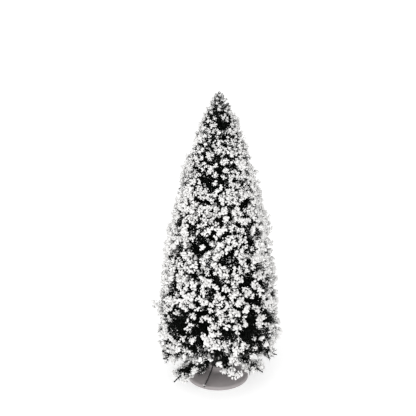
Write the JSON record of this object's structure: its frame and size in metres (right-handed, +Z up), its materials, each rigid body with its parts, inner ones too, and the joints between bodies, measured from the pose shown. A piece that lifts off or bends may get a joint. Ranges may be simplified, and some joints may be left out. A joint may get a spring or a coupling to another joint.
{
  "type": "artificial tabletop tree",
  "caption": "Small flocked artificial tree with wire branches on a taped stem that turns in a round weighted base; lowest branches bend at their roots.",
  "frame": {"origin": "centre of the base pad's underside, on the surface that the tree stands on", "axes": "+Z up along the stem, -Y to the front, where the bare twig hangs past the base, +X to the right-hand side"},
  "size_m": [0.1198, 0.1198, 0.3],
  "materials": {
    "felt": "matte",
    "cast_filler": "matte",
    "base_plastic": "satin",
    "socket_plastic": "satin",
    "ferrule_plastic": "satin",
    "rod_steel": "satin",
    "stem_tape": "matte",
    "branch_wire": "satin",
    "flocked_foliage": "matte"
  },
  "bodies": {
    "base": {"base_pad": "felt", "base_weight": "cast_filler", "base_cover": "base_plastic", "socket_sleeve": "socket_plastic"},
    "stem": {"stem_ferrule": "ferrule_plastic", "stem_rod": "rod_steel", "stem_tape": "stem_tape", "branch_bindings": "stem_tape", "leader_foliage": "flocked_foliage", "branch_wires_row_1": "branch_wire", "branch_foliage_row_1": "flocked_foliage", "branch_wires_row_2": "branch_wire", "branch_foliage_row_2": "flocked_foliage", "branch_wires_row_3": "branch_wire", "branch_foliage_row_3": "flocked_foliage", "branch_wires_row_4": "branch_wire", "branch_foliage_row_4": "flocked_foliage", "branch_wires_row_5": "branch_wire", "branch_foliage_row_5": "flocked_foliage", "branch_wires_row_6": "branch_wire", "branch_foliage_row_6": "flocked_foliage", "branch_wires_row_7": "branch_wire", "branch_foliage_row_7": "flocked_foliage", "branch_wires_row_8": "branch_wire", "branch_foliage_row_8": "flocked_foliage", "branch_wires_row_9": "branch_wire", "branch_foliage_row_9": "flocked_foliage", "branch_wires_row_10": "branch_wire", "branch_foliage_row_10": "flocked_foliage", "branch_wires_row_11": "branch_wire", "branch_foliage_row_11": "flocked_foliage", "branch_wires_row_12": "branch_wire", "branch_foliage_row_12": "flocked_foliage"},
    "skirt_branch_1": {"skirt_wire_1": "branch_wire", "skirt_foliage_1": "flocked_foliage"},
    "skirt_branch_2": {"skirt_wire_2": "branch_wire", "skirt_foliage_2": "flocked_foliage"},
    "skirt_branch_3": {"skirt_wire_3": "branch_wire", "skirt_foliage_3": "flocked_foliage"},
    "skirt_branch_4": {"skirt_wire_4": "branch_wire", "skirt_foliage_4": "flocked_foliage"},
    "skirt_branch_5": {"skirt_wire_5": "branch_wire", "skirt_foliage_5": "flocked_foliage"},
    "skirt_branch_6": {"skirt_wire_6": "branch_wire", "skirt_foliage_6": "flocked_foliage"},
    "skirt_branch_7": {"skirt_wire_7": "branch_wire", "skirt_foliage_7": "flocked_foliage"},
    "skirt_branch_8": {"skirt_wire_8": "branch_wire", "skirt_foliage_8": "flocked_foliage"},
    "skirt_branch_9": {"skirt_wire_9": "branch_wire", "skirt_foliage_9": "flocked_foliage"},
    "skirt_branch_10": {"skirt_wire_10": "branch_wire", "skirt_foliage_10": "flocked_foliage"},
    "skirt_branch_11": {"skirt_wire_11": "branch_wire", "skirt_foliage_11": "flocked_foliage"},
    "skirt_branch_12": {"skirt_wire_12": "branch_wire", "skirt_foliage_12": "flocked_foliage"},
    "bare_twig": {"bare_twig": "branch_wire"}
  },
  "joints": [
    {"name": "stem_turn", "type": "hinge", "parent": "base", "child": "stem", "pos_m": [0, 0, 0.009], "axis": [0, 0, 1], "continuous": true},
    {"name": "skirt_bend_1", "type": "hinge", "parent": "stem", "child": "skirt_branch_1", "pos_m": [0.00404, 0.00108, 0.038], "axis": [0.2588, -0.9659, 0], "range_deg": [-20, 4]},
    {"name": "skirt_bend_2", "type": "hinge", "parent": "stem", "child": "skirt_branch_2", "pos_m": [0.00296, 0.00296, 0.038], "axis": [0.7071, -0.7071, 0], "range_deg": [-20, 4]},
    {"name": "skirt_bend_3", "type": "hinge", "parent": "stem", "child": "skirt_branch_3", "pos_m": [0.00108, 0.00404, 0.038], "axis": [0.9659, -0.2588, 0], "range_deg": [-20, 4]},
    {"name": "skirt_bend_4", "type": "hinge", "parent": "stem", "child": "skirt_branch_4", "pos_m": [-0.00108, 0.00404, 0.038], "axis": [0.9659, 0.2588, 0], "range_deg": [-20, 4]},
    {"name": "skirt_bend_5", "type": "hinge", "parent": "stem", "child": "skirt_branch_5", "pos_m": [-0.00296, 0.00296, 0.038], "axis": [0.7071, 0.7071, 0], "range_deg": [-20, 4]},
    {"name": "skirt_bend_6", "type": "hinge", "parent": "stem", "child": "skirt_branch_6", "pos_m": [-0.00404, 0.00108, 0.038], "axis": [0.2588, 0.9659, 0], "range_deg": [-20, 4]},
    {"name": "skirt_bend_7", "type": "hinge", "parent": "stem", "child": "skirt_branch_7", "pos_m": [-0.00404, -0.00108, 0.038], "axis": [-0.2588, 0.9659, 0], "range_deg": [-20, 4]},
    {"name": "skirt_bend_8", "type": "hinge", "parent": "stem", "child": "skirt_branch_8", "pos_m": [-0.00296, -0.00296, 0.038], "axis": [-0.7071, 0.7071, 0], "range_deg": [-10, 4]},
    {"name": "skirt_bend_9", "type": "hinge", "parent": "stem", "child": "skirt_branch_9", "pos_m": [-0.00108, -0.00404, 0.038], "axis": [-0.9659, 0.2588, 0], "range_deg": [-20, 1.5]},
    {"name": "skirt_bend_10", "type": "hinge", "parent": "stem", "child": "skirt_branch_10", "pos_m": [0.00108, -0.00404, 0.038], "axis": [-0.9659, -0.2588, 0], "range_deg": [-20, 4]},
    {"name": "skirt_bend_11", "type": "hinge", "parent": "stem", "child": "skirt_branch_11", "pos_m": [0.00296, -0.00296, 0.038], "axis": [-0.7071, -0.7071, 0], "range_deg": [-20, 4]},
    {"name": "skirt_bend_12", "type": "hinge", "parent": "stem", "child": "skirt_branch_12", "pos_m": [0.00404, -0.00108, 0.038], "axis": [-0.2588, -0.9659, 0], "range_deg": [-20, 4]},
    {"name": "twig_bend", "type": "hinge", "parent": "stem", "child": "bare_twig", "pos_m": [-0.00139, -0.00344, 0.033], "axis": [-0.9272, 0.3746, 0], "range_deg": [-3, 12]}
  ]
}
